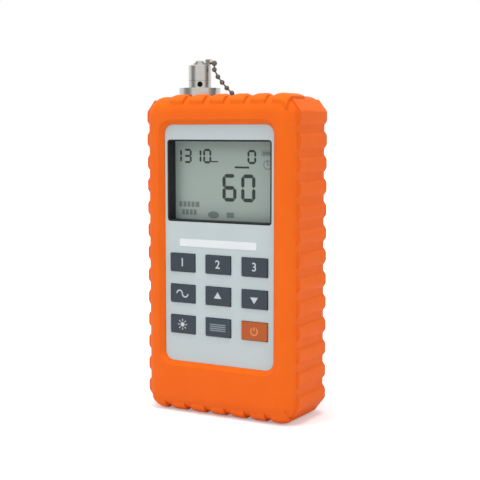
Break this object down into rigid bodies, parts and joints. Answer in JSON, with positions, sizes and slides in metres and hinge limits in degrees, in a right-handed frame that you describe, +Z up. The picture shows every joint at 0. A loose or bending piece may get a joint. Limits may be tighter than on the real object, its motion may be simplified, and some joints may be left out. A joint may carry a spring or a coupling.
{
  "type": "optical power meter",
  "caption": "Upright handheld optical power meter in a ribbed rubber boot, with a display, a keypad, a rear battery door and a chained dust cap on its fibre port.",
  "frame": {"origin": "on the ground, midway across the boot's width and depth", "axes": "+Z up along the meter, -Y out of the display side, +X to the right of someone who reads it"},
  "size_m": [0.083, 0.038, 0.17],
  "materials": {
    "orange_rubber": "satin, moulded silicone rubber",
    "grey_housing": "fine moulded texture",
    "dark_trim": "matte",
    "clear_window": "clear acrylic",
    "lcd": "reflective display glass",
    "white_diffuser": "matte",
    "black_silicone": "matte",
    "circuit_board": "solder mask",
    "zinc_screw": "zinc plated",
    "nickel_plate": "bright nickel plating",
    "black_steel": "black oxide",
    "zirconia": "polished ceramic",
    "brass": "turned",
    "gold_can": "gold plated",
    "bead_metal": "nickel-plated brass beads",
    "cell_jacket": "plain printed jacket",
    "spring_steel": "nickel-plated spring steel",
    "dark_key": "satin",
    "orange_key": "satin"
  },
  "bodies": {
    "meter": {"rubber_boot": "orange_rubber", "front_shell": "grey_housing", "rear_shell": "grey_housing", "display_frame": "dark_trim", "display_window": "clear_window", "lcd_glass": "lcd", "backlight": "white_diffuser", "keypad_mat": "black_silicone", "main_board": "circuit_board", "case_screws": "zinc_screw", "board_screws": "zinc_screw", "port_body": "nickel_plate", "set_screw": "black_steel", "ferrule_sleeve": "zirconia", "port_nut": "brass", "detector_can": "gold_can", "bead_chain": "bead_metal", "chain_screw": "nickel_plate", "battery_cells": "cell_jacket", "battery_contacts": "spring_steel"},
    "cap_tag": {"swivel_tag": "nickel_plate"},
    "cap": {"dust_cap": "nickel_plate", "cap_seal": "black_silicone", "cap_rivet": "nickel_plate"},
    "door": {"battery_door": "grey_housing", "door_screw": "zinc_screw"},
    "key_1_cap": {"key_1": "dark_key"},
    "key_2_cap": {"key_2": "dark_key"},
    "key_3_cap": {"key_3": "dark_key"},
    "key_wave_cap": {"key_wave": "dark_key"},
    "key_up_cap": {"key_up": "dark_key"},
    "key_down_cap": {"key_down": "dark_key"},
    "key_light_cap": {"key_light": "dark_key"},
    "key_list_cap": {"key_list": "dark_key"},
    "key_power_cap": {"key_power": "orange_key"}
  },
  "joints": [
    {"name": "cap_lift", "type": "slide", "parent": "meter", "child": "cap_tag", "axis": [0, 0, 1], "range_m": [0, 0.00526], "deforming": ["bead_chain"]},
    {"name": "cap_turn", "type": "hinge", "parent": "cap_tag", "child": "cap", "pos_m": [-0.0201, 0, 0.16], "axis": [0, 0, 1], "range_deg": [0, 2520]},
    {"name": "door_hinge", "type": "hinge", "parent": "meter", "child": "door", "pos_m": [0, 0.0163, 0.0295], "axis": [-1, 0, 0], "range_deg": [0, 80]},
    {"name": "key_1_press", "type": "slide", "parent": "meter", "child": "key_1_cap", "axis": [0, 1, 0], "range_m": [0, 0.0008], "stiffness_N_per_m": 400, "deforming": ["keypad_mat"]},
    {"name": "key_2_press", "type": "slide", "parent": "meter", "child": "key_2_cap", "axis": [0, 1, 0], "range_m": [0, 0.0008], "stiffness_N_per_m": 400, "deforming": ["keypad_mat"]},
    {"name": "key_3_press", "type": "slide", "parent": "meter", "child": "key_3_cap", "axis": [0, 1, 0], "range_m": [0, 0.0008], "stiffness_N_per_m": 400, "deforming": ["keypad_mat"]},
    {"name": "key_wave_press", "type": "slide", "parent": "meter", "child": "key_wave_cap", "axis": [0, 1, 0], "range_m": [0, 0.0008], "stiffness_N_per_m": 400, "deforming": ["keypad_mat"]},
    {"name": "key_up_press", "type": "slide", "parent": "meter", "child": "key_up_cap", "axis": [0, 1, 0], "range_m": [0, 0.0008], "stiffness_N_per_m": 400, "deforming": ["keypad_mat"]},
    {"name": "key_down_press", "type": "slide", "parent": "meter", "child": "key_down_cap", "axis": [0, 1, 0], "range_m": [0, 0.0008], "stiffness_N_per_m": 400, "deforming": ["keypad_mat"]},
    {"name": "key_light_press", "type": "slide", "parent": "meter", "child": "key_light_cap", "axis": [0, 1, 0], "range_m": [0, 0.0008], "stiffness_N_per_m": 400, "deforming": ["keypad_mat"]},
    {"name": "key_list_press", "type": "slide", "parent": "meter", "child": "key_list_cap", "axis": [0, 1, 0], "range_m": [0, 0.0008], "stiffness_N_per_m": 400, "deforming": ["keypad_mat"]},
    {"name": "key_power_press", "type": "slide", "parent": "meter", "child": "key_power_cap", "axis": [0, 1, 0], "range_m": [0, 0.0008], "stiffness_N_per_m": 400, "deforming": ["keypad_mat"]}
  ],
  "couplings": [
    {"joint": "cap_lift", "follows": "cap_turn", "m_per_rad": 0.00011937}
  ]
}
